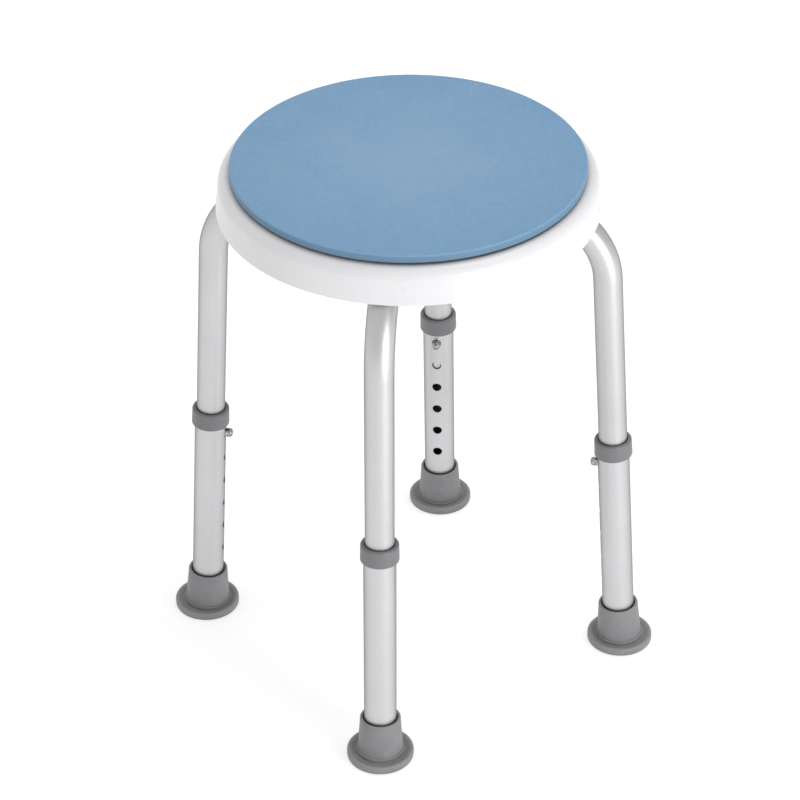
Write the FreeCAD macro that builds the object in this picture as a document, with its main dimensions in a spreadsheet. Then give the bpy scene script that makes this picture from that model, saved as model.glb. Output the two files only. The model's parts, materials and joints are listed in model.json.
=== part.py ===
"""Height-adjustable shower stool with a swivelling seat disc on four telescopic legs.

Frame: the origin is on the floor at the stool's centre, +Z is up, and the legs stand on
the X and Y axes.  Lengths are millimetres and angles are degrees.
"""

import FreeCAD, Part

import math
import os
import re

import Sketcher

# Every driving dimension: its name in the sheet, its value and what it measures.
DIMENSIONS = (
    # Seat disc
    ("seat_height", 485.0, "top of the seat disc above the floor, legs fully extended"),
    ("seat_radius", 150.0, "outer radius of the seat disc"),
    ("seat_rim_depth", 6.5, "height of the disc's edge band"),
    ("seat_plate", 3.5, "thickness of the disc's top plate"),
    ("seat_wall", 3.0, "thickness of the disc's edge band"),
    ("seat_edge_round", 1.8, "rounding of the disc's top edge"),
    ("seat_rib_depth", 2.0, "depth of the stiffening ribs below the plate"),
    ("seat_rib_count", 12, "number of radial ribs below the plate"),
    ("swivel_gap", 2.0, "gap between the disc's edge and the base below it"),
    # Base shell
    ("base_radius", 162.5, "outer radius of the base at its lower edge"),
    ("base_rim_height", 445.4, "lower edge of the base above the floor"),
    ("base_draft", 6.0, "lean of the base's side wall from vertical"),
    ("base_wall", 3.0, "wall and deck thickness of the base"),
    ("base_shoulder", 10.0, "rounding between the base's deck and side wall"),
    ("base_rim_round", 1.0, "rounding of the base's lower edge"),
    ("base_rib_bottom", 458.0, "lower edge of the radial ribs above the floor"),
    ("rib_thickness", 2.5, "thickness of every rib"),
    ("base_rib_count", 8, "number of radial ribs below the deck"),
    ("base_ring_radius", 138.0, "middle radius of the ring rib below the deck"),
    ("base_ring_depth", 9.0, "depth of the ring rib below the deck"),
    ("seat_ring_radius", 62.0, "middle radius of the inner ring rib below the disc"),
    ("drain_radius", 3.0, "radius of a drain hole in the deck"),
    ("drain_ring_radius", 127.0, "distance of the drain holes from the centre"),
    # Leg cradles under the base
    ("cradle_width", 33.0, "width of the block that holds a leg tube"),
    ("cradle_start", 34.0, "inner end of the block, from the centre"),
    ("cradle_end", 99.0, "outer end of the block, from the centre"),
    ("cradle_stop", 2.0, "end wall behind the leg tube"),
    ("cradle_play", 0.1, "radial play of a leg tube in its block"),
    ("bolt_inner_place", 54.0, "inner leg bolt, from the centre"),
    ("bolt_outer_place", 88.0, "outer leg bolt, from the centre"),
    ("bolt_radius", 3.0, "radius of a leg bolt's shank"),
    ("bolt_hole_radius", 3.3, "radius of the holes for the leg bolts"),
    ("bolt_head_radius", 5.77, "corner radius of a leg bolt's hexagonal head"),
    ("bolt_head_height", 4.0, "height of a leg bolt's head"),
    ("bolt_flange_radius", 6.5, "radius of the flange under a leg bolt's head"),
    ("bolt_flange_height", 1.2, "thickness of that flange"),
    ("bolt_end_depth", 0.5, "depth of the bolts' ends below the deck's top"),
    ("nut_radius", 5.6, "corner radius of a leg nut"),
    ("nut_bore", 3.05, "radius of a leg nut's bore"),
    ("nut_pocket_radius", 5.9, "corner radius of a nut's pocket"),
    ("nut_height", 5.0, "height of a leg nut"),
    ("nut_pocket_depth", 5.2, "depth of a nut's pocket below the deck's top"),
    # Ball race between the disc and the base
    ("race_radius", 112.0, "radius of the circle that the balls run on"),
    ("race_land", 14.0, "width of the thickened ring that holds a groove"),
    ("race_depth", 3.0, "depth of the thickened ring below the deck"),
    ("ball_radius", 4.0, "radius of a ball"),
    ("ball_play", 0.3, "play of the balls in their grooves and in the cage"),
    ("ball_height", 477.5, "centre of the balls above the floor"),
    ("ball_count", 24, "number of balls"),
    ("cage_width", 13.0, "width of the flat cage ring"),
    ("cage_thickness", 1.6, "thickness of the cage ring"),
    ("cage_bottom", 477.2, "underside of the cage above the floor"),
    # Central pivot
    ("hub_radius", 12.0, "radius of the disc's pivot boss"),
    ("hub_bottom", 455.0, "lower end of the disc's pivot boss"),
    ("insert_bore", 5.5, "radius of the bore for the threaded insert"),
    ("insert_bore_top", 471.0, "upper end of that bore"),
    ("insert_radius", 5.45, "outer radius of the threaded insert"),
    ("insert_bottom", 455.3, "lower end of the threaded insert"),
    ("insert_length", 13.0, "length of the threaded insert"),
    ("insert_waist", 0.8, "depth of the waist round the insert's middle"),
    ("screw_radius", 3.9, "radius of the pivot screw's shank"),
    ("screw_thread_radius", 4.0, "radius of the insert's threaded bore"),
    ("screw_length", 13.5, "length of the pivot screw under its washer"),
    ("screw_head_radius", 7.5, "corner radius of the pivot screw's hexagonal head"),
    ("screw_head_height", 5.3, "height of the pivot screw's head"),
    ("washer_radius", 22.0, "outer radius of the retaining washer"),
    ("washer_bore", 4.3, "radius of the retaining washer's hole"),
    ("washer_thickness", 2.0, "thickness of the retaining washer"),
    ("bush_bore", 12.08, "inner radius of the pivot bush"),
    ("bush_radius", 14.95, "outer radius of the pivot bush"),
    ("bush_flange_radius", 18.0, "radius of the bush's flange on the deck"),
    ("bush_flange_height", 1.2, "thickness of the bush's flange"),
    ("base_hub_bore", 15.0, "radius of the bore for the bush"),
    ("base_hub_radius", 19.0, "outer radius of the base's hub"),
    ("base_hub_bottom", 455.3, "lower end of the base's hub and of the bush"),
    # Legs: places along a leg count from the floor, along its sloping axis
    ("foot_ring_radius", 190.5, "distance of each leg's foot from the centre"),
    ("leg_splay", 3.1, "lean of each leg from vertical"),
    ("arm_height", 452.0, "centre line of a leg tube's level arm above the floor"),
    ("arm_start", 38.0, "inner end of the level arm, from the centre"),
    ("bend_radius", 72.0, "centre line radius of the leg tube's bend"),
    ("tube_wall", 1.2, "wall thickness of both tubes"),
    ("leg_tube_radius", 12.5, "outer radius of the upper leg tube"),
    ("leg_tube_end", 157.0, "lower end of the upper leg tube"),
    ("lower_tube_radius", 14.0, "outer radius of the lower tube"),
    ("lower_tube_foot", 8.2, "lower end of the lower tube"),
    ("lower_tube_top", 217.7, "upper end of the lower tube"),
    ("hole_radius", 4.3, "radius of the height holes"),
    ("hole_pitch", 25.4, "distance between height holes"),
    ("hole_count", 6, "number of height holes"),
    ("top_hole_place", 194.5, "uppermost height hole, where the button sits"),
    # Collar at the top of the lower tube
    ("collar_bottom", 204.4, "lower edge of the collar"),
    ("collar_top", 220.3, "upper edge of the collar"),
    ("collar_foot_radius", 16.7, "outer radius of the collar at its lower edge"),
    ("collar_head_radius", 16.4, "outer radius of the collar at its upper edge"),
    ("collar_bore", 14.05, "inner radius of the collar on the lower tube"),
    ("collar_lip_bore", 12.85, "inner radius of the lip round the upper tube"),
    ("collar_lip_bottom", 217.9, "underside of that lip"),
    ("collar_top_round", 2.0, "rounding of the collar's upper edge"),
    ("collar_small_round", 0.6, "rounding of the collar's other edges"),
    # Rubber foot
    ("flange_radius", 29.0, "radius of the foot's flange"),
    ("flange_height", 7.0, "height of the flange's raised rim"),
    ("flange_round", 1.4, "rounding of the flange's rim"),
    ("sole_round", 2.0, "rounding of the flange's edge on the floor"),
    ("dish_round", 1.2, "rounding of the dish's outer edge"),
    ("dish_radius", 26.4, "outer radius of the dish round the socket"),
    ("dish_floor_radius", 22.8, "outer radius of the dish's floor"),
    ("dish_height", 5.5, "floor of the dish above the ground"),
    ("sole_recess_radius", 18.0, "radius of the hollow under the foot"),
    ("sole_recess", 1.2, "depth of the hollow and of the grip grooves"),
    ("grip_inner_radius", 21.5, "inner radius of the grip groove in the sole"),
    ("grip_outer_radius", 23.5, "outer radius of the grip groove in the sole"),
    ("socket_root", 3.0, "place where the socket starts inside the flange"),
    ("socket_root_radius", 20.0, "outer radius of the socket at its root"),
    ("bead_top", 8.8, "upper edge of the bead round the socket's root"),
    ("bead_width", 0.8, "width of that bead"),
    ("socket_top", 40.4, "upper edge of the socket"),
    ("socket_top_radius", 17.6, "outer radius of the socket at its upper edge"),
    ("socket_bore", 14.05, "inner radius of the socket"),
    ("socket_mouth_bore", 14.9, "inner radius of the socket's wider mouth"),
    ("socket_mouth_depth", 3.0, "depth of that mouth"),
    ("socket_floor", 8.0, "floor of the socket, where the lower tube stands"),
    ("bead_round", 0.5, "rounding of the bead's upper edge"),
    ("socket_root_round", 0.6, "fillet between socket and flange"),
    ("socket_mouth_round", 1.0, "rounding of the socket's upper edge"),
    # Spring button
    ("button_radius", 4.0, "radius of the spring button"),
    ("button_tip", 20.5, "tip of the button, from the tube's axis"),
    ("button_round", 3.0, "rounding of the button's tip"),
    ("spring_face", 9.9, "outer face of the spring's arms, from the tube's axis"),
    ("spring_thickness", 0.7, "thickness of the leaf spring"),
    ("spring_width", 9.6, "width of the leaf spring"),
    ("spring_top", 204.3, "upper end of the spring's arms"),
    ("spring_bottom", 162.0, "lower end of the leaf spring"),
    ("spring_bend", 5.0, "height and width of the bend that joins the two arms"),
)

LEGS = (("right", 0), ("rear", 90), ("left", 180), ("front", 270))

# Levels and places worked out from the driving dimensions.
PLATE_UNDER = "(seat_height - seat_plate)"
SEAT_RIB_UNDER = f"({PLATE_UNDER} - seat_rib_depth)"
SEAT_RIM_UNDER = "(seat_height - seat_rim_depth)"
DECK_TOP = f"({SEAT_RIM_UNDER} - swivel_gap)"
DECK_UNDER = f"({DECK_TOP} - base_wall)"
RACE_INNER = "(race_radius - race_land / 2)"
RACE_OUTER = "(race_radius + race_land / 2)"
GROOVE_RADIUS = "(ball_radius + ball_play)"
SPLAY = "leg_splay * 1 deg"
BEND_HEIGHT = "(arm_height - bend_radius)"
BEND_START = f"(foot_ring_radius - {BEND_HEIGHT} * tan({SPLAY}) - bend_radius / cos({SPLAY}))"
WASHER_UNDER = "(hub_bottom - washer_thickness)"
TUBE_UNDER = "(arm_height - leg_tube_radius)"

START, END, CENTRE = 1, 2, 3
ORIGIN = (-1, START)
NEAR = 0.01

doc = FreeCAD.newDocument("shower_stool")


def make_sheet():
    """Write the dimension table: name, value and meaning."""
    table = doc.addObject("Spreadsheet::Sheet", "Dimensions")
    for row, (alias, number, meaning) in enumerate(DIMENSIONS, start=1):
        table.set(f"A{row}", alias)
        table.set(f"B{row}", str(number))
        table.set(f"C{row}", meaning)
        table.setAlias(f"B{row}", alias)
    doc.recompute()
    return table


sheet = make_sheet()


def sized(formula):
    """Point every dimension named in a formula at the sheet."""
    return re.sub(r"[a-z]+(?:_[a-z]+)+", lambda name: f"Dimensions.{name.group()}", formula)


def value(formula):
    """Return what a formula comes to with the sheet's present numbers."""
    return float(sheet.evalExpression(sized(formula)))


# ---------------------------------------------------------------- sketches


def new_body(label, placement=None):
    """Start a sub-part, placed in the stool's frame by a formula where it needs one."""
    body = doc.addObject("PartDesign::Body", label)
    body.Label = label
    if placement:
        body.setExpression("Placement", sized(placement))
    return body


def new_sketch(body, name, plane, offset=None):
    """Attach a sketch to one of the body's own origin planes, shifted by a placement formula."""
    support = next(item for item in body.Origin.OriginFeatures if item.Role == plane)
    sketch = body.newObject("Sketcher::SketchObject", f"{body.Label}_{name}")
    sketch.AttachmentSupport = [(support, "")]
    sketch.MapMode = "FlatFace"
    if offset:
        sketch.setExpression("AttachmentOffset", sized(offset))
    return sketch


def lifted(distance):
    """Offset formula for a sketch moved along its plane's normal."""
    return f"placement(vector(0; 0; {distance}); rotation(0; 0; 0))"


def bind(sketch, kind, *geometry, formula):
    """Add a dimension to a sketch and bind it to a formula."""
    number = sketch.addConstraint(Sketcher.Constraint(kind, *geometry, value(formula)))
    sketch.setExpression(f"Constraints[{number}]", sized(formula))


def pin_point(sketch, geometry, point, across, up):
    """Hold a point of a sketch at two distances from the sketch's origin."""
    bind(sketch, "DistanceX", *ORIGIN, geometry, point, formula=across)
    bind(sketch, "DistanceY", *ORIGIN, geometry, point, formula=up)


def spot(across, up):
    """Return the sketch point that two formulas come to."""
    return FreeCAD.Vector(value(across), value(up), 0)


def draw_outline(sketch, corners):
    """Draw a closed outline through corners that are pairs of formulas."""
    first = sketch.GeometryCount
    count = len(corners)
    for number, corner in enumerate(corners):
        sketch.addGeometry(Part.LineSegment(spot(*corner), spot(*corners[(number + 1) % count])))
    for number, corner in enumerate(corners):
        following = first + (number + 1) % count
        sketch.addConstraint(Sketcher.Constraint("Coincident", first + number, END, following, START))
        pin_point(sketch, first + number, START, *corner)


def draw_circle(sketch, across, up, radius):
    """Draw a circle whose centre and radius are formulas."""
    outline = Part.Circle(spot(across, up), FreeCAD.Vector(0, 0, 1), value(radius))
    number = sketch.addGeometry(outline)
    pin_point(sketch, number, CENTRE, across, up)
    bind(sketch, "Radius", number, formula=radius)


def box_corners(left, right, low, high):
    """Return the corners of a rectangle."""
    return [(left, low), (right, low), (right, high), (left, high)]


def ring_below(inner, outer, top, bottom):
    """Return the outline corners of a ring that hangs below a level, from outside inwards."""
    return [(outer, top), (outer, bottom), (inner, bottom), (inner, top)]


def rib_ring(middle, top, bottom):
    """Return the outline corners of a ring rib round a middle radius."""
    return ring_below(f"({middle} - rib_thickness / 2)", f"({middle} + rib_thickness / 2)", top, bottom)


def hexagon(across, corner_radius):
    """Return the corners of a hexagon centred on the sketch's horizontal axis."""
    return [
        (f"{across} + {corner_radius} * cos({60 * turn} deg)", f"{corner_radius} * sin({60 * turn} deg)")
        for turn in range(6)
    ]


# ---------------------------------------------------------------- features


def revolve(body, name, sketch, axis="V_Axis", cut=False):
    """Turn a sketch about one of its axes, to add a solid or to cut a groove."""
    kind = "PartDesign::Groove" if cut else "PartDesign::Revolution"
    feature = body.newObject(kind, f"{body.Label}_{name}")
    feature.Profile = sketch
    feature.ReferenceAxis = (sketch, [axis])
    feature.Angle = 360
    return feature


def extrude(body, name, sketch, length, cut=False, side="One side", reverse=False):
    """Pad a sketch by a length, or cut a pocket as deep."""
    kind = "PartDesign::Pocket" if cut else "PartDesign::Pad"
    feature = body.newObject(kind, f"{body.Label}_{name}")
    feature.Profile = sketch
    feature.SideType = side
    feature.Reversed = reverse
    feature.setExpression("Length", sized(length))
    return feature


def cut_checked(body, name, sketch, length, **options):
    """Cut a pocket and make sure that it takes material away."""
    doc.recompute()
    before = body.Shape.Volume
    feature = extrude(body, name, sketch, length, cut=True, **options)
    doc.recompute()
    if not body.Shape.Volume < before - NEAR:
        raise RuntimeError(f"{feature.Name} cuts nothing")
    return feature


def repeat_round(body, name, features, count):
    """Repeat features evenly round the body's Z axis."""
    axis = next(item for item in body.Origin.OriginFeatures if item.Role == "Z_Axis")
    pattern = body.newObject("PartDesign::PolarPattern", f"{body.Label}_{name}")
    pattern.Originals = features
    pattern.Axis = (axis, [""])
    pattern.Angle = 360
    pattern.setExpression("Occurrences", sized(count))
    body.Tip = pattern
    return pattern


def repeat_along(body, name, feature, sketch, spacing, count):
    """Repeat a feature down the sketch's vertical axis."""
    pattern = body.newObject("PartDesign::LinearPattern", f"{body.Label}_{name}")
    pattern.Originals = [feature]
    pattern.Direction = (sketch, ["V_Axis"])
    pattern.Reversed = True
    pattern.setExpression("Length", sized(f"{spacing} * ({count} - 1)"))
    pattern.setExpression("Occurrences", sized(count))
    body.Tip = pattern
    return pattern


def dress_edges(body, name, edges, radius, kind="PartDesign::Fillet"):
    """Round or chamfer the named edges of the body's present shape."""
    if not edges:
        raise RuntimeError(f"{body.Label} has no edge for {name}")
    base = body.Tip
    feature = body.newObject(kind, f"{body.Label}_{name}")
    feature.Base = (base, edges)
    feature.setExpression("Radius" if kind.endswith("Fillet") else "Size", sized(radius))
    doc.recompute()
    return feature


def ring_edges(body, *rings):
    """Name the body's circular edges that match any (radius, place along the axis) pair.

    The place is measured along the circle's own axis, from the body's origin.
    """
    doc.recompute()
    wanted = [(value(radius), value(place)) for radius, place in rings]
    names = []
    for number, edge in enumerate(body.Tip.Shape.Edges, start=1):
        curve = edge.Curve
        if not isinstance(curve, Part.Circle):
            continue
        place = abs(curve.Center.dot(curve.Axis))
        if any(abs(curve.Radius - radius) < NEAR and abs(place - level) < NEAR for radius, level in wanted):
            names.append(f"Edge{number}")
    return names


# ---------------------------------------------------------------- seat disc and pivot


def make_swivel_seat():
    """The seat: a flat disc with an edge band, ribs below, a ball groove and a pivot boss."""
    body = new_body("swivel_seat")
    profile = new_sketch(body, "profile", "XZ_Plane")
    draw_outline(
        profile,
        [
            ("0", "seat_height"),
            ("seat_radius", "seat_height"),
            ("seat_radius", SEAT_RIM_UNDER),
            ("seat_radius - seat_wall", SEAT_RIM_UNDER),
            ("seat_radius - seat_wall", PLATE_UNDER),
            *ring_below(RACE_INNER, RACE_OUTER, PLATE_UNDER, SEAT_RIB_UNDER),
            *rib_ring("seat_ring_radius", PLATE_UNDER, SEAT_RIB_UNDER),
            ("hub_radius", PLATE_UNDER),
            ("hub_radius", "hub_bottom"),
            ("insert_bore", "hub_bottom"),
            ("insert_bore", "insert_bore_top"),
            ("0", "insert_bore_top"),
        ],
    )
    revolve(body, "disc", profile)

    rib = new_sketch(body, "rib_sketch", "XZ_Plane")
    inside_band = "seat_radius - seat_wall / 2"
    draw_outline(rib, box_corners("hub_radius - 1", inside_band, SEAT_RIB_UNDER, "seat_height - 1"))
    first_rib = extrude(body, "rib", rib, "rib_thickness", side="Symmetric")
    doc.recompute()
    repeat_round(body, "ribs", [first_rib], "seat_rib_count")

    groove = new_sketch(body, "groove_sketch", "XZ_Plane")
    draw_circle(groove, "race_radius", "ball_height", GROOVE_RADIUS)
    revolve(body, "ball_groove", groove, cut=True)

    top_edge = ring_edges(body, ("seat_radius", "seat_height"))
    dress_edges(body, "top_rounding", top_edge, "seat_edge_round")
    rim_edges = ring_edges(body, ("seat_radius", SEAT_RIM_UNDER))
    dress_edges(body, "rim_rounding", rim_edges, "seat_edge_round / 3")
    return body


def make_pivot_insert():
    """Threaded insert moulded into the seat's pivot boss, with a waist that anchors it."""
    body = new_body("pivot_insert")
    profile = new_sketch(body, "profile", "XZ_Plane")
    insert_top = "insert_bottom + insert_length"
    waist = "insert_radius - insert_waist"
    draw_outline(
        profile,
        [
            ("screw_thread_radius", "insert_bottom"),
            ("insert_radius", "insert_bottom"),
            ("insert_radius", "insert_bottom + insert_length * 0.4"),
            (waist, "insert_bottom + insert_length * 0.45"),
            (waist, "insert_bottom + insert_length * 0.55"),
            ("insert_radius", "insert_bottom + insert_length * 0.6"),
            ("insert_radius", insert_top),
            ("screw_thread_radius", insert_top),
        ],
    )
    revolve(body, "turned", profile)
    return body


def make_pivot_screw():
    """Hexagon screw that holds the seat down from below."""
    body = new_body("pivot_screw")
    head = new_sketch(body, "head_sketch", "XY_Plane", lifted(f"{WASHER_UNDER} - screw_head_height"))
    draw_outline(head, hexagon("0", "screw_head_radius"))
    extrude(body, "head", head, "screw_head_height")
    shank = new_sketch(body, "shank_sketch", "XY_Plane", lifted(WASHER_UNDER))
    draw_circle(shank, "0", "0", "screw_radius")
    extrude(body, "shank", shank, "screw_length + washer_thickness")
    return body


def make_ring(label, inner, outer, low, thickness):
    """A flat ring round the Z axis."""
    body = new_body(label)
    sketch = new_sketch(body, "sketch", "XY_Plane", lifted(low))
    draw_circle(sketch, "0", "0", outer)
    draw_circle(sketch, "0", "0", inner)
    extrude(body, "pad", sketch, thickness)
    return body


def make_pivot_bush():
    """Flanged plastic bush in the base's hub, in which the seat's boss turns."""
    body = new_body("pivot_bush")
    profile = new_sketch(body, "profile", "XZ_Plane")
    flange_top = f"{DECK_TOP} + bush_flange_height"
    draw_outline(
        profile,
        [
            ("bush_bore", "base_hub_bottom"),
            ("bush_radius", "base_hub_bottom"),
            ("bush_radius", DECK_TOP),
            ("bush_flange_radius", DECK_TOP),
            ("bush_flange_radius", flange_top),
            ("bush_bore", flange_top),
        ],
    )
    revolve(body, "turned", profile)
    return body


def make_ball_cage():
    """Flat ring that keeps the balls evenly apart."""
    inner = "race_radius - cage_width / 2"
    outer = "race_radius + cage_width / 2"
    body = make_ring("ball_cage", inner, outer, "cage_bottom", "cage_thickness")
    hole = new_sketch(body, "hole_sketch", "XY_Plane", lifted("cage_bottom + cage_thickness"))
    draw_circle(hole, "race_radius", "0", GROOVE_RADIUS)
    first_hole = cut_checked(body, "hole", hole, "cage_thickness")
    repeat_round(body, "holes", [first_hole], "ball_count")
    return body


def make_bearing_balls():
    """The loose balls, as one group of separate solids."""
    balls = []
    count = round(value("ball_count"))
    for number in range(count):
        ball = doc.addObject("Part::Sphere", f"ball_{number}")
        turn = f"{number} * 360 deg / ball_count"
        ball.setExpression("Radius", sized("ball_radius"))
        ball.setExpression(
            "Placement",
            sized(
                f"placement(vector(race_radius * cos({turn}); race_radius * sin({turn});"
                " ball_height); rotation(0; 0; 0))"
            ),
        )
        balls.append(ball)
    return group_of("bearing_balls", balls)


def group_of(label, pieces):
    """Join separate pieces of one kind under one name."""
    group = doc.addObject("Part::Compound", label)
    group.Label = label
    group.Links = pieces
    return group


# ---------------------------------------------------------------- base


def make_seat_base():
    """The base: a shallow moulded shell with a hub, ribs, a ball groove and four leg cradles."""
    body = new_body("seat_base")
    lean = "tan(base_draft * 1 deg)"
    wall_top = f"(base_radius - ({DECK_TOP} - base_rim_height) * {lean})"
    wall_inner_top = f"(base_radius - base_wall - ({DECK_UNDER} - base_rim_height) * {lean})"
    ring_under = f"({DECK_UNDER} - base_ring_depth)"
    profile = new_sketch(body, "profile", "XZ_Plane")
    draw_outline(
        profile,
        [
            ("base_hub_bore", DECK_TOP),
            (wall_top, DECK_TOP),
            ("base_radius", "base_rim_height"),
            ("base_radius - base_wall", "base_rim_height"),
            (wall_inner_top, DECK_UNDER),
            *rib_ring("base_ring_radius", DECK_UNDER, ring_under),
            *ring_below(RACE_INNER, RACE_OUTER, DECK_UNDER, f"({DECK_UNDER} - race_depth)"),
            ("base_hub_radius", DECK_UNDER),
            ("base_hub_radius", "base_hub_bottom"),
            ("base_hub_bore", "base_hub_bottom"),
        ],
    )
    revolve(body, "shell", profile)
    inner_edge = ring_edges(body, (wall_inner_top, DECK_UNDER))
    dress_edges(body, "inner_shoulder", inner_edge, "base_shoulder - base_wall")

    half_turn = "placement(vector(0; 0; 0); rotation(0; 180 / base_rib_count; 0))"
    rib = new_sketch(body, "rib_sketch", "XZ_Plane", half_turn)
    deck_middle = f"{DECK_UNDER} + base_wall / 2"
    rib_reach = f"base_radius - base_wall / 2 - (base_rib_bottom - base_rim_height) * {lean}"
    round_level = f"({DECK_TOP} - base_shoulder)"
    round_place = (
        f"(base_radius - ({round_level} - base_rim_height) * {lean}"
        " - base_shoulder / cos(base_draft * 1 deg))"
    )
    round_middle = "(base_shoulder - base_wall / 2)"
    draw_outline(
        rib,
        [
            ("base_hub_radius - 1", "base_rib_bottom"),
            (rib_reach, "base_rib_bottom"),
            *[
                (
                    f"{round_place} + {round_middle} * cos({turn} deg)",
                    f"{round_level} + {round_middle} * sin({turn} deg)",
                )
                for turn in (0, 45, 90)
            ],
            ("base_hub_radius - 1", deck_middle),
        ],
    )
    first_rib = extrude(body, "rib", rib, "rib_thickness", side="Symmetric")
    doc.recompute()
    repeat_round(body, "ribs", [first_rib], "base_rib_count")

    add_cradles(body)

    groove = new_sketch(body, "groove_sketch", "XZ_Plane")
    draw_circle(groove, "race_radius", "ball_height", GROOVE_RADIUS)
    revolve(body, "ball_groove", groove, cut=True)

    drain = new_sketch(body, "drain_sketch", "XY_Plane", lifted(DECK_TOP))
    along = "drain_ring_radius * cos(45 deg)"
    draw_circle(drain, along, along, "drain_radius")
    first_drain = cut_checked(body, "drain", drain, "base_wall")
    repeat_round(body, "drains", [first_drain], "4")

    shoulder = ring_edges(body, (wall_top, DECK_TOP))
    dress_edges(body, "shoulder", shoulder, "base_shoulder")
    rim = ring_edges(body, ("base_radius", "base_rim_height"), ("base_radius - base_wall", "base_rim_height"))
    dress_edges(body, "rim_rounding", rim, "base_rim_round")
    return body


def add_cradles(body):
    """Four blocks below the deck, each hollowed for a leg tube and drilled for two bolts."""
    block = new_sketch(body, "cradle_sketch", "YZ_Plane", lifted("cradle_start"))
    half_width = "cradle_width / 2"
    draw_outline(
        block,
        box_corners(f"-{half_width}", half_width, "arm_height", f"{DECK_UNDER} + base_wall / 2"),
    )
    first_block = extrude(body, "cradle", block, "cradle_end - cradle_start")
    doc.recompute()
    repeat_round(body, "cradles", [first_block], "4")

    channel = new_sketch(body, "channel_sketch", "YZ_Plane", lifted("cradle_start + cradle_stop"))
    draw_circle(channel, "0", "arm_height", "leg_tube_radius + cradle_play")
    first_channel = cut_checked(body, "channel", channel, "cradle_end - cradle_start", reverse=True)
    repeat_round(body, "channels", [first_channel], "4")

    holes = new_sketch(body, "bolt_hole_sketch", "XY_Plane", lifted(DECK_TOP))
    pockets = new_sketch(body, "nut_pocket_sketch", "XY_Plane", lifted(DECK_TOP))
    for place in ("bolt_inner_place", "bolt_outer_place"):
        draw_circle(holes, place, "0", "bolt_hole_radius")
        draw_outline(pockets, hexagon(place, "nut_pocket_radius"))
    drilled = cut_checked(body, "bolt_holes", holes, f"{DECK_TOP} - arm_height")
    repeat_round(body, "all_bolt_holes", [drilled], "4")
    sunk = cut_checked(body, "nut_pockets", pockets, "nut_pocket_depth")
    repeat_round(body, "all_nut_pockets", [sunk], "4")


def fixing_places():
    """Yield the azimuth and the distance from the centre of every leg bolt."""
    for _, azimuth in LEGS:
        for place in ("bolt_inner_place", "bolt_outer_place"):
            yield azimuth, place


def upright(kind, name, fixing, bottom, height, radius):
    """An upright cylinder or hexagonal prism on a leg bolt's axis, turned to face its leg."""
    azimuth, place = fixing
    centre = f"vector({place} * cos({azimuth} deg); {place} * sin({azimuth} deg); {bottom})"
    piece = doc.addObject(kind, name)
    piece.setExpression("Circumradius" if kind == "Part::Prism" else "Radius", sized(radius))
    piece.setExpression("Height", sized(height))
    piece.setExpression("Placement", sized(f"placement({centre}; rotation({azimuth}; 0; 0))"))
    return piece


def make_leg_bolts():
    """Flanged hexagon bolts, from below through each leg tube and its cradle."""
    bolts = []
    flange_under = f"({TUBE_UNDER} - bolt_flange_height)"
    head_under = f"({flange_under} - bolt_head_height)"
    shank_length = f"{DECK_TOP} - {flange_under} - bolt_end_depth"
    stages = (
        ("head", "Part::Prism", head_under, "bolt_head_height", "bolt_head_radius"),
        ("flange", "Part::Cylinder", flange_under, "bolt_flange_height", "bolt_flange_radius"),
        ("shank", "Part::Cylinder", flange_under, shank_length, "bolt_radius"),
    )
    for number, fixing in enumerate(fixing_places()):
        bolt = doc.addObject("Part::MultiFuse", f"leg_bolt_{number}")
        bolt.Shapes = [
            upright(kind, f"leg_bolt_{number}_{stage}", fixing, under, height, radius)
            for stage, kind, under, height, radius in stages
        ]
        bolts.append(bolt)
    return group_of("leg_bolts", bolts)


def make_leg_nuts():
    """Hexagon nuts sunk into the deck, one on each leg bolt."""
    nuts = []
    nut_under = f"{DECK_TOP} - nut_pocket_depth"
    for number, fixing in enumerate(fixing_places()):
        name = f"leg_nut_{number}"
        nut = doc.addObject("Part::Cut", name)
        nut.Base = upright("Part::Prism", f"{name}_block", fixing, nut_under, "nut_height", "nut_radius")
        nut.Tool = upright("Part::Cylinder", f"{name}_bore", fixing, nut_under, "nut_height", "nut_bore")
        nuts.append(nut)
    return group_of("leg_nuts", nuts)


# ---------------------------------------------------------------- legs


def at_foot(azimuth, splay):
    """Placement formula for a leg's own frame.

    Its origin is where the leg's axis meets the floor, +X points to the stool's middle and
    +Z up, or up along the sloping leg when splay is the leg's lean.
    """
    turn = f"{azimuth} deg"
    corner = f"vector(foot_ring_radius * cos({turn}); foot_ring_radius * sin({turn}); 0)"
    return f"placement({corner}; rotation({azimuth + 180}; {splay}; 0))"


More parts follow.
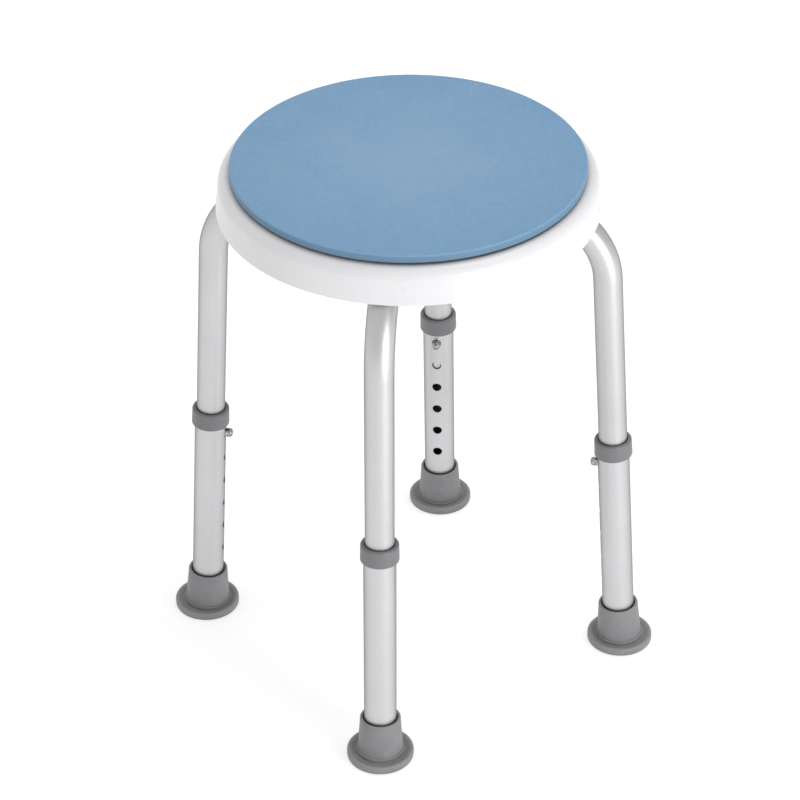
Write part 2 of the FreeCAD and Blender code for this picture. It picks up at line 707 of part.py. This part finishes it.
def make_leg_tube(side, azimuth):
    """Upper tube: a level arm under the base, a bend and a straight sloping leg."""
    body = new_body(f"leg_tube_{side}", f"placement(vector(0; 0; 0); rotation({azimuth}; 0; 0))")
    section = new_sketch(body, "section", "YZ_Plane", lifted("arm_start"))
    draw_circle(section, "0", "arm_height", "leg_tube_radius")
    draw_circle(section, "0", "arm_height", "leg_tube_radius - tube_wall")

    path = new_sketch(body, "path", "XZ_Plane")
    arm = (("arm_start", "arm_height"), (BEND_START, "arm_height"))
    bend_end = (
        f"{BEND_START} + bend_radius * cos({SPLAY})",
        f"{BEND_HEIGHT} + bend_radius * sin({SPLAY})",
    )
    leg_end = (
        f"foot_ring_radius - leg_tube_end * sin({SPLAY})",
        f"leg_tube_end * cos({SPLAY})",
    )
    bend_circle = Part.Circle(spot(BEND_START, BEND_HEIGHT), FreeCAD.Vector(0, 0, 1), value("bend_radius"))
    lean = math.radians(value("leg_splay"))
    path.addGeometry(Part.LineSegment(spot(*arm[0]), spot(*arm[1])))
    path.addGeometry(Part.ArcOfCircle(bend_circle, lean, math.pi / 2))
    path.addGeometry(Part.LineSegment(spot(*bend_end), spot(*leg_end)))
    arm_line, bend, leg_line = 0, 1, 2
    pin_point(path, arm_line, START, *arm[0])
    pin_point(path, arm_line, END, *arm[1])
    pin_point(path, leg_line, START, *bend_end)
    pin_point(path, leg_line, END, *leg_end)
    path.addConstraint(Sketcher.Constraint("Coincident", arm_line, END, bend, END))
    path.addConstraint(Sketcher.Constraint("Coincident", bend, START, leg_line, START))
    bind(path, "Radius", bend, formula="bend_radius")

    pipe = body.newObject("PartDesign::AdditivePipe", f"{body.Label}_pipe")
    pipe.Profile = section
    pipe.Spine = (path, [])
    doc.recompute()

    bolt_holes = new_sketch(body, "bolt_hole_sketch", "XY_Plane", lifted("arm_height + leg_tube_radius"))
    for place in ("bolt_inner_place", "bolt_outer_place"):
        draw_circle(bolt_holes, place, "0", "bolt_hole_radius")
    cut_checked(body, "bolt_holes", bolt_holes, "leg_tube_radius * 2")

    along_leg = "placement(vector(0; 0; foot_ring_radius); rotation(0; 0; -leg_splay))"
    button_hole = new_sketch(body, "button_hole_sketch", "YZ_Plane", along_leg)
    draw_circle(button_hole, "0", "top_hole_place", "hole_radius")
    cut_checked(body, "button_hole", button_hole, "leg_tube_radius + 1")
    return body


def make_lower_tube(side, azimuth):
    """Lower tube: slides over the upper one, with a row of height holes facing inwards."""
    body = new_body(f"lower_tube_{side}", at_foot(azimuth, "leg_splay"))
    section = new_sketch(body, "section", "XY_Plane", lifted("lower_tube_foot"))
    draw_circle(section, "0", "0", "lower_tube_radius")
    draw_circle(section, "0", "0", "lower_tube_radius - tube_wall")
    extrude(body, "tube", section, "lower_tube_top - lower_tube_foot")
    hole = new_sketch(body, "hole_sketch", "YZ_Plane")
    draw_circle(hole, "0", "top_hole_place", "hole_radius")
    first_hole = cut_checked(body, "hole", hole, "lower_tube_radius + 1", reverse=True)
    repeat_along(body, "holes", first_hole, hole, "hole_pitch", "hole_count")
    return body


def make_collar(side, azimuth):
    """Plastic collar on top of the lower tube, with a lip round the upper tube."""
    body = new_body(f"collar_{side}", at_foot(azimuth, "leg_splay"))
    profile = new_sketch(body, "profile", "XZ_Plane")
    draw_outline(
        profile,
        [
            ("collar_bore", "collar_bottom"),
            ("collar_foot_radius", "collar_bottom"),
            ("collar_head_radius", "collar_top"),
            ("collar_lip_bore", "collar_top"),
            ("collar_lip_bore", "collar_lip_bottom"),
            ("collar_bore", "collar_lip_bottom"),
        ],
    )
    revolve(body, "turned", profile)
    top_edge = ring_edges(body, ("collar_head_radius", "collar_top"))
    dress_edges(body, "top_rounding", top_edge, "collar_top_round")
    other_edges = ring_edges(
        body, ("collar_foot_radius", "collar_bottom"), ("collar_lip_bore", "collar_top")
    )
    dress_edges(body, "small_rounding", other_edges, "collar_small_round")
    return body


def make_foot(side, azimuth):
    """Rubber foot: a dished flange flat on the floor and a socket that leans with the leg."""
    body = new_body(f"foot_{side}", at_foot(azimuth, "0"))
    flange = new_sketch(body, "flange_profile", "XZ_Plane")
    draw_outline(
        flange,
        [
            ("0", "sole_recess"),
            ("sole_recess_radius", "sole_recess"),
            ("sole_recess_radius + sole_recess", "0"),
            ("grip_inner_radius", "0"),
            ("grip_inner_radius", "sole_recess"),
            ("grip_outer_radius", "sole_recess"),
            ("grip_outer_radius", "0"),
            ("flange_radius", "0"),
            ("flange_radius", "flange_height"),
            ("dish_radius", "flange_height"),
            ("dish_floor_radius", "dish_height"),
            ("0", "dish_height"),
        ],
    )
    revolve(body, "flange", flange)

    leaning = "placement(vector(0; 0; 0); rotation(-leg_splay; 0; 0))"
    socket = new_sketch(body, "socket_profile", "XZ_Plane", leaning)
    socket_taper = "(socket_root_radius - socket_top_radius) / (socket_top - socket_root)"
    bead_radius = "socket_root_radius + bead_width"
    draw_outline(
        socket,
        [
            ("0", "socket_root"),
            (bead_radius, "socket_root"),
            (bead_radius, "bead_top"),
            (f"socket_root_radius - (bead_top - socket_root) * {socket_taper}", "bead_top"),
            ("socket_top_radius", "socket_top"),
            ("socket_mouth_bore", "socket_top"),
            ("socket_mouth_bore", "socket_top - socket_mouth_depth"),
            ("socket_bore", "socket_top - socket_mouth_depth"),
            ("socket_bore", "socket_floor"),
            ("0", "socket_floor"),
        ],
    )
    revolve(body, "socket", socket)
    doc.recompute()

    root = [
        f"Edge{number}"
        for number, edge in enumerate(body.Tip.Shape.Edges, start=1)
        if isinstance(edge.Curve, Part.Ellipse) and edge.BoundBox.ZLength < NEAR
    ]
    dress_edges(body, "root_fillet", root, "socket_root_round")
    dress_edges(body, "bead_rounding", ring_edges(body, (bead_radius, "bead_top")), "bead_round")
    mouth = ring_edges(body, ("socket_top_radius", "socket_top"), ("socket_mouth_bore", "socket_top"))
    dress_edges(body, "mouth_rounding", mouth, "socket_mouth_round")
    rim = ring_edges(body, ("flange_radius", "flange_height"))
    dress_edges(body, "rim_rounding", rim, "flange_round")
    dress_edges(body, "sole_rounding", ring_edges(body, ("flange_radius", "0")), "sole_round")
    dress_edges(body, "dish_rounding", ring_edges(body, ("dish_radius", "flange_height")), "dish_round")
    return body


def make_snap_button(side, azimuth):
    """Domed button that stands out of the uppermost hole and locks the leg's length."""
    body = new_body(f"snap_button_{side}", at_foot(azimuth, "leg_splay"))
    on_hole = "placement(vector(0; top_hole_place; 0); rotation(0; 0; 0))"
    profile = new_sketch(body, "profile", "XZ_Plane", on_hole)
    draw_outline(profile, box_corners("spring_face", "button_tip", "0", "button_radius"))
    revolve(body, "pin", profile, axis="H_Axis")
    tip = ring_edges(body, ("button_radius", "button_tip"))
    dress_edges(body, "dome", tip, "button_round")
    return body


def make_button_spring(side, azimuth):
    """Leaf spring bent to a V inside the upper tube, pressing the button outwards."""
    body = new_body(f"button_spring_{side}", at_foot(azimuth, "leg_splay"))
    profile = new_sketch(body, "profile", "XZ_Plane")
    inner_face = "(spring_face - spring_thickness)"
    bend_top = "(spring_bottom + spring_bend)"
    bend_side = "(spring_face - spring_bend)"
    draw_outline(
        profile,
        [
            ("spring_face", "spring_top"),
            ("spring_face", bend_top),
            ("spring_face - spring_bend / 2", "spring_bottom"),
            (bend_side, "spring_bottom"),
            ("-spring_face", "spring_top"),
            (f"-{inner_face}", "spring_top"),
            (f"{bend_side} + spring_thickness", "spring_bottom + spring_thickness"),
            ("spring_face - spring_bend / 2 - spring_thickness / 2", "spring_bottom + spring_thickness"),
            (inner_face, bend_top),
            (inner_face, "spring_top"),
        ],
    )
    extrude(body, "leaf", profile, "spring_width", side="Symmetric")
    return body


# ---------------------------------------------------------------- whole stool


def make_parts():
    """Make every sub-part of the stool."""
    parts = [
        make_swivel_seat(),
        make_pivot_insert(),
        make_pivot_screw(),
        make_ring("pivot_washer", "washer_bore", "washer_radius", WASHER_UNDER, "washer_thickness"),
        make_pivot_bush(),
        make_ball_cage(),
        make_bearing_balls(),
        make_seat_base(),
        make_leg_bolts(),
        make_leg_nuts(),
    ]
    makers = (make_leg_tube, make_lower_tube, make_collar, make_foot, make_snap_button, make_button_spring)
    for side, azimuth in LEGS:
        for maker in makers:
            parts.append(maker(side, azimuth))
    return parts


def check_document(parts):
    """Stop if any object of the document failed or any sub-part has a bad shape."""
    doc.recompute()
    failed = [item.Name for item in doc.Objects if {"Invalid", "Error"} & set(item.State)]
    if failed:
        raise RuntimeError(f"failed objects: {failed}")
    for part in parts:
        if part.Shape.isNull() or not part.Shape.isValid():
            raise RuntimeError(f"{part.Label} has no valid shape")


def export(parts):
    """Write each sub-part to its own file and print its volume."""
    os.makedirs("parts", exist_ok=True)
    for part in parts:
        part.Shape.exportStep(f"parts/{part.Label}.step")
        print(f"{part.Label}: {len(part.Shape.Solids)} solids, {part.Shape.Volume:.0f} mm3")


stool = make_parts()
check_document(stool)
export(stool)
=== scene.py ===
"""Shower stool: finishes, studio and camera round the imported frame.

Every place is in the frame's own axes and metres: +Z up, the origin on the floor at the
stool's centre, and the legs on the X and Y axes.
"""

import json
import math

import bpy
from mathutils import Matrix, Vector


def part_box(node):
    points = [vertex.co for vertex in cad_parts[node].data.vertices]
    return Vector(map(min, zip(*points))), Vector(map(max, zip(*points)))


MM = 0.001

# The camera: where it looks, from which direction and how far away, in metres and degrees,
# and the focal length of its lens in millimetres.
CAMERA_TARGET = Vector((-0.0085, -0.0036, 0.2449))
CAMERA_AZIMUTH = 8.70
CAMERA_ELEVATION = 34.46
CAMERA_DISTANCE = 2.9157
CAMERA_ROLL = -0.539
LENS = 150.05

# Brightness of the studio's surroundings at either side.
WORLD_LEFT = 0.82
WORLD_RIGHT = 0.64

# The floor: half its width, how much light it returns and how much it adds to look white.
FLOOR_HALF_WIDTH = 12.0
FLOOR_COLOUR = 0.55
FLOOR_GLOW = 0.60

# The point that the soft lights face, about half way up the stool.
LIT_POINT = (0.0, 0.0, 0.30)

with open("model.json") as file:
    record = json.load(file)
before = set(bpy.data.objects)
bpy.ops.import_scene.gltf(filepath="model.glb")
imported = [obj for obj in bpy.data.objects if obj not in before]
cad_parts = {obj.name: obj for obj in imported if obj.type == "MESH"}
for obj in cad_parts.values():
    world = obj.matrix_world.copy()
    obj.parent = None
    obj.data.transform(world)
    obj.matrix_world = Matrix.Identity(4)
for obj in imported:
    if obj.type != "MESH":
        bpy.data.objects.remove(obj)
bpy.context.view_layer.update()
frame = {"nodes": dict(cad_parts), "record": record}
nodes = frame["nodes"]

SEAT_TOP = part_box("swivel_seat")[1].z
SEAT_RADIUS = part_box("swivel_seat")[1].x
BASE_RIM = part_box("seat_base")[0].z


# ---------------------------------------------------------------- camera and studio


def grey(level):
    """An opaque neutral colour."""
    return (level, level, level, 1.0)


def aim(thing, target, roll=0.0):
    """Turn a camera or lamp at a point, then roll it about its own line of sight."""
    direction = Vector(target) - thing.location
    turned = direction.to_track_quat("-Z", "Y").to_matrix().to_4x4() @ Matrix.Rotation(roll, 4, "Z")
    thing.rotation_euler = turned.to_euler()


def add_camera():
    """A long lens, looking down on the stool from a little right of the front leg."""
    azimuth = math.radians(CAMERA_AZIMUTH)
    elevation = math.radians(CAMERA_ELEVATION)
    back = Vector((
        math.sin(azimuth) * math.cos(elevation),
        -math.cos(azimuth) * math.cos(elevation),
        math.sin(elevation),
    ))
    data = bpy.data.cameras.new("camera")
    data.sensor_width = 36.0
    data.lens = LENS
    data.clip_start = 0.05
    data.clip_end = 60.0
    camera = bpy.data.objects.new("camera", data)
    camera.location = CAMERA_TARGET + back * CAMERA_DISTANCE
    aim(camera, CAMERA_TARGET, roll=math.radians(CAMERA_ROLL))
    bpy.context.scene.collection.objects.link(camera)
    bpy.context.scene.camera = camera


def add_softbox(name, place, size, power):
    """A rectangular soft white light."""
    data = bpy.data.lights.new(name, "AREA")
    data.shape = "RECTANGLE"
    data.size, data.size_y = size
    data.energy = power
    lamp = bpy.data.objects.new(name, data)
    lamp.location = place
    aim(lamp, LIT_POINT)
    bpy.context.scene.collection.objects.link(lamp)


def add_world():
    """Soft white surroundings, a little brighter on the left than on the right."""
    world = bpy.data.worlds.new("studio")
    bpy.context.scene.world = world
    world.use_nodes = True
    tree = world.node_tree
    background = tree.nodes["Background"]
    coords = tree.nodes.new("ShaderNodeTexCoord")
    split = tree.nodes.new("ShaderNodeSeparateXYZ")
    tree.links.new(coords.outputs["Generated"], split.inputs[0])
    side = tree.nodes.new("ShaderNodeMapRange")
    tree.links.new(split.outputs["X"], side.inputs["Value"])
    side.inputs["From Min"].default_value = -1.0
    side.inputs["To Min"].default_value = WORLD_LEFT
    side.inputs["To Max"].default_value = WORLD_RIGHT
    tree.links.new(side.outputs["Result"], background.inputs["Strength"])
    background.inputs["Color"].default_value = grey(1.0)


def add_floor():
    """A wide plain floor under the feet."""
    half = FLOOR_HALF_WIDTH
    mesh = bpy.data.meshes.new("floor")
    corners = [(-half, -half, 0.0), (half, -half, 0.0), (half, half, 0.0), (-half, half, 0.0)]
    mesh.from_pydata(corners, [], [(0, 1, 2, 3)])
    floor = bpy.data.objects.new("floor", mesh)
    bpy.context.scene.collection.objects.link(floor)
    paint = bpy.data.materials.new("floor_paint")
    paint.use_nodes = True
    shader = paint.node_tree.nodes["Principled BSDF"]
    shader.inputs["Base Color"].default_value = grey(FLOOR_COLOUR)
    shader.inputs["Roughness"].default_value = 1.0
    shader.inputs["Specular IOR Level"].default_value = 0.0
    shader.inputs["Emission Color"].default_value = grey(1.0)
    shader.inputs["Emission Strength"].default_value = FLOOR_GLOW
    mesh.materials.append(paint)


def add_studio():
    """Camera, floor and soft lights."""
    add_camera()
    add_world()
    add_floor()
    add_softbox("front_right", place=(1.60, -1.40, 0.46), size=(0.50, 0.90), power=19.0)
    add_softbox("overhead", place=(0.8, 0.5, 3.0), size=(1.2, 1.2), power=16.0)
    scene = bpy.context.scene
    scene.view_settings.view_transform = "Standard"
    scene.view_settings.look = "None"


# ---------------------------------------------------------------- material nodes


class Paint:
    """A Principled material whose colour, roughness and relief are built from nodes."""

    def __init__(self, name):
        self.material = bpy.data.materials.new(name)
        self.material.use_nodes = True
        self.tree = self.material.node_tree
        self.shader = self.tree.nodes["Principled BSDF"]
        coords = self.tree.nodes.new("ShaderNodeTexCoord")
        self.place = coords.outputs["Object"]
        self.facing = coords.outputs["Normal"]

    def node(self, kind, settings=None, **inputs):
        """Add a node with its inputs, named with _ for spaces or numbered as _0, _1 and so on."""
        made = self.tree.nodes.new(f"ShaderNode{kind}")
        for name, value in (settings or {}).items():
            setattr(made, name, value)
        for name, value in inputs.items():
            key = int(name[1:]) if name[1:].isdigit() else name.replace("_", " ")
            self.feed(made.inputs[key], value)
        return made

    def feed(self, socket, value):
        """Link a socket to another one, or set its value."""
        if isinstance(value, bpy.types.NodeSocket):
            self.tree.links.new(value, socket)
        else:
            socket.default_value = value

    def fixed(self, **inputs):
        """Set values that are the same all over the surface on the shader itself."""
        for name, value in inputs.items():
            self.shader.inputs[name.replace("_", " ")].default_value = value

    def stretched(self, scale):
        """Object coordinates scaled differently along each axis."""
        return self.node("Mapping", _0=self.place, Scale=scale).outputs["Vector"]

    def noise(self, scale, detail=3.0, roughness=0.5, vector=None):
        """Fractal noise from 0 to 1."""
        made = self.node(
            "TexNoise", Vector=vector or self.place, Scale=scale, Detail=detail, Roughness=roughness
        )
        return made.outputs["Fac"]

    def cells(self, scale):
        """Distance from the borders of irregular cells."""
        made = self.node("TexVoronoi", {"feature": "DISTANCE_TO_EDGE"}, Vector=self.place, Scale=scale)
        return made.outputs["Distance"]

    def facing_up(self):
        """How far the surface faces up: 1 when level, 0 when upright."""
        return self.node("SeparateXYZ", _0=self.facing).outputs["Z"]

    def remap(self, value, low, high, to_low=0.0, to_high=1.0):
        """Stretch a range of values onto another one, clamped at both ends."""
        made = self.node("MapRange", Value=value)
        limits = {"From Min": low, "From Max": high, "To Min": to_low, "To Max": to_high}
        for name, number in limits.items():
            made.inputs[name].default_value = number
        return made.outputs["Result"]

    def maths(self, operation, first, second=0.0):
        """One arithmetic step."""
        return self.node("Math", {"operation": operation}, _0=first, _1=second).outputs[0]

    def blend(self, factor, first, second):
        """Mix two colours by a factor."""
        made = self.node("Mix", {"data_type": "RGBA"})
        self.feed(made.inputs[0], factor)
        self.feed(made.inputs[6], first)
        self.feed(made.inputs[7], second)
        return made.outputs[2]

    def layer(self, colour, other, mask, strength):
        """Lay another colour over the first one where a mask is high, up to a strength."""
        return self.blend(self.maths("MULTIPLY", mask, strength), colour, other)

    def relief(self, height, depth, strength, under=None):
        """Turn a height from 0 to 1 into a bump of a real depth."""
        inputs = {"Height": height, "Distance": depth, "Strength": strength}
        if under is not None:
            inputs["Normal"] = under
        return self.node("Bump", **inputs).outputs["Normal"]

    def shade_crevices(self, colour, dark, reach, strength, low=0.25, high=0.80):
        """Darken where other surfaces stand close by: fully at an openness of low, not at all at high."""
        openness = self.node("AmbientOcclusion", {"samples": 6}, Distance=reach)
        return self.layer(colour, dark, self.remap(openness.outputs["AO"], high, low), strength)

    def finish(self, colour, roughness, normal):
        """Connect the varying parts to the shader."""
        self.feed(self.shader.inputs["Base Color"], colour)
        self.feed(self.shader.inputs["Roughness"], roughness)
        self.feed(self.shader.inputs["Normal"], normal)
        return self.material


# ---------------------------------------------------------------- materials


def blue_seat():
    """Dusty blue moulded plastic with a fine leather grain on the top face only."""
    paint = Paint("blue_seat_grained")
    split = paint.node("SeparateXYZ", _0=paint.place)
    radius = paint.node("VectorMath", {"operation": "LENGTH"}, _0=paint.stretched((1.0, 1.0, 0.0)))
    level = paint.remap(paint.facing_up(), 0.80, 0.97)
    at_top = paint.remap(split.outputs["Z"], SEAT_TOP - 1.5 * MM, SEAT_TOP - 0.5 * MM)
    top = paint.maths("MULTIPLY", level, at_top)

    pebbles = paint.remap(paint.cells(620.0), 0.0, 0.32)
    fine = paint.noise(2200.0, detail=4.0, roughness=0.65)
    grain = paint.maths("MULTIPLY", paint.blend(0.45, pebbles, fine), top)

    cloud = paint.remap(paint.noise(26.0, detail=4.0, roughness=0.6), 0.32, 0.68)
    colour = paint.blend(cloud, (0.158, 0.325, 0.532, 1), (0.182, 0.341, 0.521, 1))
    mottle = paint.remap(paint.noise(210.0, detail=5.0, roughness=0.7), 0.35, 0.70)
    colour = paint.layer(colour, (0.28, 0.46, 0.64, 1), mottle, 0.30)
    # Painted shade: darker blue in the creases between the grain's pebbles on the top face.
    grain_crease_shade = paint.maths("MULTIPLY", paint.remap(pebbles, 0.35, 0.0), top)
    colour = paint.layer(colour, (0.15, 0.29, 0.48, 1), grain_crease_shade, 0.35)
    # Painted glints: light blue flecks in patches over the top face, standing for grain tips catching the
    # light.
    glint_patches = paint.remap(paint.noise(40.0, detail=2.0), 0.42, 0.62)
    painted_glints = paint.remap(paint.noise(680.0, detail=3.0, roughness=0.6), 0.58, 0.68)
    painted_glints = paint.maths("MULTIPLY", paint.maths("MULTIPLY", painted_glints, glint_patches), top)
    colour = paint.layer(colour, (0.48, 0.66, 0.80, 1), painted_glints, 0.36)
    # Painted highlight: the seat turns lighter blue towards its middle.
    painted_centre_highlight = paint.remap(radius.outputs["Value"], SEAT_RADIUS, 0.1 * SEAT_RADIUS, 0.0, 0.14)
    colour = paint.blend(painted_centre_highlight, colour, (0.50, 0.64, 0.78, 1))
    # Painted shade: the upright rim of the seat is darker than its top face.
    side = paint.remap(paint.facing_up(), 0.75, 0.25)
    colour = paint.layer(colour, (0.110, 0.205, 0.300, 1), side, 0.85)
    colour = paint.shade_crevices(colour, (0.02, 0.03, 0.06, 1), 7.0 * MM, 0.85)

    roughness = paint.remap(paint.noise(420.0), 0.3, 0.7, 0.46, 0.58)
    paint.fixed(Specular_IOR_Level=0.42)
    return paint.finish(colour, roughness, paint.relief(grain, 0.07 * MM, 0.8))


def white_base():
    """Smooth white moulded plastic: soft gloss, a trace of flow marks and a dusting low down."""
    paint = Paint("white_base_moulded")
    height = paint.node("SeparateXYZ", _0=paint.place).outputs["Z"]
    cloud = paint.noise(14.0, detail=3.0)
    colour = paint.blend(paint.remap(cloud, 0.3, 0.7), (0.708, 0.706, 0.722, 1), (0.734, 0.732, 0.746, 1))
    scuff = paint.remap(paint.noise(260.0, detail=5.0, roughness=0.7), 0.56, 0.70)
    low = paint.remap(height, BASE_RIM + 4.0 * MM, BASE_RIM)
    colour = paint.layer(colour, grey(0.70), scuff, low)
    colour = paint.shade_crevices(colour, (0.33, 0.33, 0.36, 1), 9.0 * MM, 0.70)
    roughness = paint.remap(paint.noise(55.0, detail=4.0), 0.3, 0.7, 0.26, 0.36)
    ripple = paint.noise(30.0, detail=1.0)
    skin = paint.relief(ripple, 0.01 * MM, 0.4)
    orange_peel = paint.relief(paint.noise(900.0), 0.002 * MM, 0.4, under=skin)
    paint.fixed(Specular_IOR_Level=0.5, Coat_Weight=0.10, Coat_Roughness=0.25)
    return paint.finish(colour, roughness, orange_peel)


def satin_aluminium():
    """Satin anodised tube: fine drawing lines along the leg, a blasted sparkle and painted shade that
    darkens the bore.
    """
    paint = Paint("anodised_tube")
    lines = paint.noise(1.0, detail=4.0, roughness=0.6, vector=paint.stretched((1900.0, 1900.0, 22.0)))
    blast = paint.noise(2400.0, detail=2.0)
    cloud = paint.noise(18.0, detail=3.0)
    colour = paint.blend(paint.remap(cloud, 0.3, 0.7), (0.560, 0.562, 0.570, 1), (0.605, 0.607, 0.615, 1))
    colour = paint.blend(paint.remap(lines, 0.25, 0.75, 0.0, 0.25), colour, (0.68, 0.68, 0.69, 1))
    colour = paint.shade_crevices(colour, (0.08, 0.08, 0.085, 1), 2.5 * MM, 0.8)
    # Painted shade: deep inside the tube the colour goes near black.
    colour = paint.shade_crevices(colour, grey(0.01), 40.0 * MM, 0.95, low=0.10, high=0.30)
    roughness = paint.maths(
        "ADD", paint.remap(lines, 0.2, 0.8, 0.35, 0.43), paint.remap(blast, 0.3, 0.7, -0.02, 0.03)
    )
    drawn = paint.relief(lines, 0.006 * MM, 0.5)
    blasted = paint.relief(blast, 0.006 * MM, 0.5, under=drawn)
    paint.fixed(Metallic=0.9, Specular_Tint=grey(0.15))
    return paint.finish(colour, roughness, blasted)


def grey_collar():
    """Mid grey moulded plastic with a fine spark-eroded texture."""
    paint = Paint("collar_plastic")
    cloud = paint.noise(60.0, detail=3.0)
    colour = paint.blend(paint.remap(cloud, 0.3, 0.7), (0.163, 0.162, 0.170, 1), (0.180, 0.179, 0.187, 1))
    colour = paint.shade_crevices(colour, grey(0.03), 2.5 * MM, 0.7)
    spark = paint.noise(1800.0, detail=3.0, roughness=0.6)
    roughness = paint.remap(spark, 0.3, 0.7, 0.40, 0.52)
    paint.fixed(Specular_IOR_Level=0.5)
    return paint.finish(colour, roughness, paint.relief(spark, 0.02 * MM, 0.7))


def grey_rubber():
    """Mid grey rubber: matt, slightly mottled, lighter on level faces and scuffed near the floor."""
    paint = Paint("foot_rubber")
    height = paint.node("SeparateXYZ", _0=paint.place).outputs["Z"]
    mottle = paint.noise(90.0, detail=5.0, roughness=0.6)
    colour = paint.blend(paint.remap(mottle, 0.3, 0.7), (0.190, 0.189, 0.197, 1), (0.222, 0.221, 0.229, 1))
    scuff = paint.remap(paint.noise(420.0, detail=5.0, roughness=0.7), 0.54, 0.70)
    low = paint.remap(height, 6.0 * MM, 0.5 * MM, 0.0, 0.5)
    colour = paint.layer(colour, grey(0.33), scuff, low)
    # Lighter grey towards level faces.
    lighter_when_level = paint.remap(paint.facing_up(), 0.3, 0.95, 0.0, 0.75)
    colour = paint.blend(lighter_when_level, colour, (0.295, 0.294, 0.300, 1))
    colour = paint.shade_crevices(colour, grey(0.035), 7.0 * MM, 0.70)
    pores = paint.noise(1500.0, detail=4.0, roughness=0.65)
    roughness = paint.remap(pores, 0.3, 0.7, 0.52, 0.66)
    paint.fixed(Specular_IOR_Level=0.45, Sheen_Weight=0.08, Sheen_Roughness=0.6)
    return paint.finish(colour, roughness, paint.relief(pores, 0.03 * MM, 0.7))


def metal(name, low, high, rough, line_scale=(900.0, 900.0, 60.0), depth=0.004):
    """Bare or plated metal with faint tool lines."""
    paint = Paint(name)
    paint.fixed(Metallic=1.0)
    lines = paint.noise(1.0, detail=4.0, vector=paint.stretched(line_scale))
    colour = paint.blend(paint.remap(lines, 0.25, 0.75), low, high)
    roughness = paint.remap(lines, 0.2, 0.8, *rough)
    return paint.finish(colour, roughness, paint.relief(lines, depth * MM, 0.5))


def acetal():
    """Creamy low-friction plastic, slightly waxy."""
    paint = Paint("acetal_natural")
    cloud = paint.noise(80.0, detail=3.0)
    colour = paint.blend(paint.remap(cloud, 0.3, 0.7), (0.72, 0.71, 0.67, 1), (0.78, 0.77, 0.73, 1))
    swirl = paint.noise(600.0, detail=3.0)
    roughness = paint.remap(swirl, 0.3, 0.7, 0.30, 0.40)
    paint.fixed(Specular_IOR_Level=0.5)
    return paint.finish(colour, roughness, paint.relief(swirl, 0.008 * MM, 0.5))


def make_materials():
    """One finish for each of the record's material slots."""
    return {
        "blue_seat": blue_seat(),
        "white_base": white_base(),
        "aluminium_tube": satin_aluminium(),
        "grey_collar": grey_collar(),
        "grey_rubber": grey_rubber(),
        "plated_button": metal("nickel_plate", grey(0.04), grey(0.66), (0.10, 0.16), (420.0,) * 3, 0.002),
        "spring_steel": metal("spring_strip", grey(0.42), grey(0.52), (0.28, 0.38)),
        "steel_fastener": metal("stainless_fastener", grey(0.50), grey(0.60), (0.24, 0.34)),
        "brass_insert": metal("turned_brass", (0.62, 0.47, 0.24, 1), (0.72, 0.57, 0.32, 1), (0.22, 0.32)),
        "polished_ball": metal("polished_ball", grey(0.66), grey(0.72), (0.06, 0.10), (200.0,) * 3, 0.001),
        "acetal": acetal(),
    }


def paint_nodes():
    """Give every carried-over node the finish of its slot."""
    finishes = make_materials()
    for row in frame["record"]["subparts"]:
        node = nodes[row["node"]]
        for slot in node.material_slots:
            slot.material = finishes[row["material_slot"]]


# ---------------------------------------------------------------- whole scene

add_studio()
paint_nodes()
